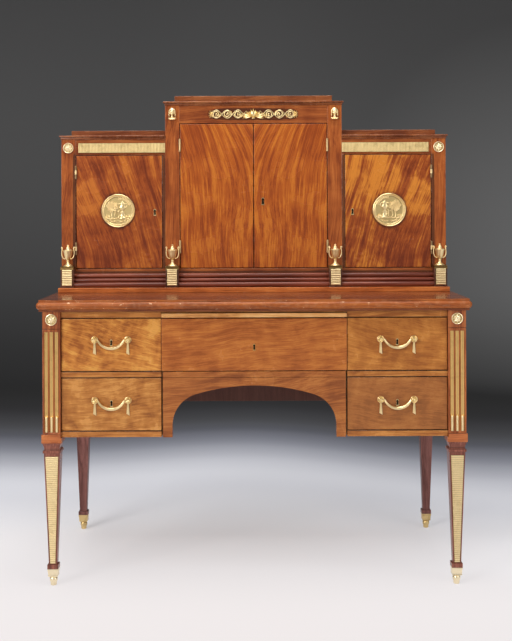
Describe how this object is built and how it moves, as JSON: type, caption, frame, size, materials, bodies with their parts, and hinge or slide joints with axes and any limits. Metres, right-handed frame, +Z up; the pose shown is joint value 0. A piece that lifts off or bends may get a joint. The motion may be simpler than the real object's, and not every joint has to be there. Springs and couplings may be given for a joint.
{
  "type": "secretary cabinet",
  "caption": "Mahogany writing table with drawers, a kneehole arch and a pull-out slide on tapering legs, under a stepped cabinet with hinged doors and gilt mounts.",
  "frame": {"origin": "on the floor, under the middle of the table top", "axes": "+Z up, +X to the right of a person facing the front, front faces -Y"},
  "size_m": [1.242, 0.63, 1.435],
  "materials": {
    "mahogany_case": "polished reddish mahogany",
    "mahogany_flame": "polished flame-figured mahogany veneer",
    "mahogany_front": "polished golden mahogany veneer",
    "oak": "plain unpolished oak",
    "gilt_bronze": "chased and gilt bronze",
    "brass": "lacquered brass"
  },
  "bodies": {
    "carcase": {"table_top": "mahogany_case", "front_legs": "mahogany_case", "rear_legs": "mahogany_case", "top_rails": "mahogany_case", "base_board": "mahogany_case", "reeded_mouldings": "mahogany_case", "plinth_blocks": "mahogany_case", "plinth_rails": "mahogany_case", "end_panels": "mahogany_case", "cabinet_floor": "mahogany_flame", "cabinet_ends": "mahogany_flame", "centre_sides": "mahogany_flame", "cornices": "mahogany_flame", "frieze_rails": "mahogany_flame", "kneehole_apron": "mahogany_front", "divider_boards": "mahogany_front", "bottom_boards": "mahogany_front", "back_panel": "oak", "partitions": "oak", "drawer_runners": "oak", "cabinet_backs": "oak", "shelves": "oak", "sabots": "gilt_bronze", "paterae": "gilt_bronze", "urns": "gilt_bronze", "scroll_mount": "gilt_bronze", "head_mounts": "gilt_bronze", "ribbed_brasses": "brass", "flute_brasses": "brass", "hinge_jambs": "brass", "hinge_pins": "brass"},
    "centre_drawer": {"centre_drawer_front": "mahogany_front", "centre_drawer_box": "oak", "centre_drawer_lock": "brass"},
    "writing_slide": {"writing_slide": "mahogany_front"},
    "drawer_upper_left": {"drawer_front_upper_left": "mahogany_front", "drawer_box_upper_left": "oak", "drawer_handle_upper_left": "gilt_bronze"},
    "bail_upper_left": {"drawer_bail_upper_left": "gilt_bronze"},
    "drawer_lower_left": {"drawer_front_lower_left": "mahogany_front", "drawer_box_lower_left": "oak", "drawer_handle_lower_left": "gilt_bronze"},
    "bail_lower_left": {"drawer_bail_lower_left": "gilt_bronze"},
    "drawer_upper_right": {"drawer_front_upper_right": "mahogany_front", "drawer_box_upper_right": "oak", "drawer_handle_upper_right": "gilt_bronze"},
    "bail_upper_right": {"drawer_bail_upper_right": "gilt_bronze"},
    "drawer_lower_right": {"drawer_front_lower_right": "mahogany_front", "drawer_box_lower_right": "oak", "drawer_handle_lower_right": "gilt_bronze"},
    "bail_lower_right": {"drawer_bail_lower_right": "gilt_bronze"},
    "wing_door_left": {"wing_door_left": "mahogany_flame", "wing_door_left_fittings": "gilt_bronze"},
    "centre_door_left": {"centre_door_left": "mahogany_flame", "centre_door_left_fittings": "brass"},
    "wing_door_right": {"wing_door_right": "mahogany_flame", "wing_door_right_fittings": "gilt_bronze"},
    "centre_door_right": {"centre_door_right": "mahogany_flame", "centre_door_right_fittings": "brass"}
  },
  "joints": [
    {"name": "drawer_upper_left_slide", "type": "slide", "parent": "carcase", "child": "drawer_upper_left", "axis": [0, -1, 0], "range_m": [0, 0.35]},
    {"name": "drawer_lower_left_slide", "type": "slide", "parent": "carcase", "child": "drawer_lower_left", "axis": [0, -1, 0], "range_m": [0, 0.35]},
    {"name": "drawer_upper_right_slide", "type": "slide", "parent": "carcase", "child": "drawer_upper_right", "axis": [0, -1, 0], "range_m": [0, 0.35]},
    {"name": "drawer_lower_right_slide", "type": "slide", "parent": "carcase", "child": "drawer_lower_right", "axis": [0, -1, 0], "range_m": [0, 0.35]},
    {"name": "centre_drawer_slide", "type": "slide", "parent": "carcase", "child": "centre_drawer", "axis": [0, -1, 0], "range_m": [0, 0.35]},
    {"name": "writing_slide_pull", "type": "slide", "parent": "carcase", "child": "writing_slide", "axis": [0, -1, 0], "range_m": [0, 0.3]},
    {"name": "wing_door_left_hinge", "type": "hinge", "parent": "carcase", "child": "wing_door_left", "pos_m": [-0.557, 0.0112, 1.06], "axis": [0, 0, -1], "range_deg": [0, 90]},
    {"name": "centre_door_left_hinge", "type": "hinge", "parent": "carcase", "child": "centre_door_left", "pos_m": [-0.231, 0.0112, 1.06], "axis": [0, 0, -1], "range_deg": [0, 90]},
    {"name": "wing_door_right_hinge", "type": "hinge", "parent": "carcase", "child": "wing_door_right", "pos_m": [0.557, 0.0112, 1.06], "axis": [0, 0, 1], "range_deg": [0, 90]},
    {"name": "centre_door_right_hinge", "type": "hinge", "parent": "carcase", "child": "centre_door_right", "pos_m": [0.231, 0.0112, 1.06], "axis": [0, 0, 1], "range_deg": [0, 90]},
    {"name": "bail_upper_left_swing", "type": "hinge", "parent": "drawer_upper_left", "child": "bail_upper_left", "pos_m": [-0.40825, -0.304, 0.704], "axis": [-1, 0, 0], "range_deg": [0, 75]},
    {"name": "bail_lower_left_swing", "type": "hinge", "parent": "drawer_lower_left", "child": "bail_lower_left", "pos_m": [-0.40825, -0.304, 0.531], "axis": [-1, 0, 0], "range_deg": [0, 75]},
    {"name": "bail_upper_right_swing", "type": "hinge", "parent": "drawer_upper_right", "child": "bail_upper_right", "pos_m": [0.40825, -0.304, 0.704], "axis": [-1, 0, 0], "range_deg": [0, 75]},
    {"name": "bail_lower_right_swing", "type": "hinge", "parent": "drawer_lower_right", "child": "bail_lower_right", "pos_m": [0.40825, -0.304, 0.531], "axis": [-1, 0, 0], "range_deg": [0, 75]}
  ]
}
